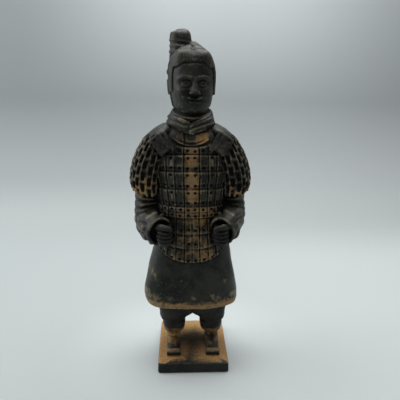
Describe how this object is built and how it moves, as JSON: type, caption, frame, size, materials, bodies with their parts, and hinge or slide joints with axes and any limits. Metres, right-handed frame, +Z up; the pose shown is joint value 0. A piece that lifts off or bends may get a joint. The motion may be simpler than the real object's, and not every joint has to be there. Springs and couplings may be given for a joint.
{
  "type": "terracotta warrior statue",
  "caption": "Small fired-clay statue of an armoured warrior standing with closed fists on a slab plinth, all cast as one piece.",
  "frame": {"origin": "middle of the plinth's flat underside", "axes": "+Z up along the figure's height, -Y the way the figure faces, +X to the right of someone who faces it"},
  "size_m": [0.0732, 0.0521, 0.1997],
  "materials": {
    "fired_clay": "unglazed fired clay under a worn dark patina"
  },
  "bodies": {
    "root": {"terracotta_warrior": "fired_clay"}
  },
  "joints": []
}
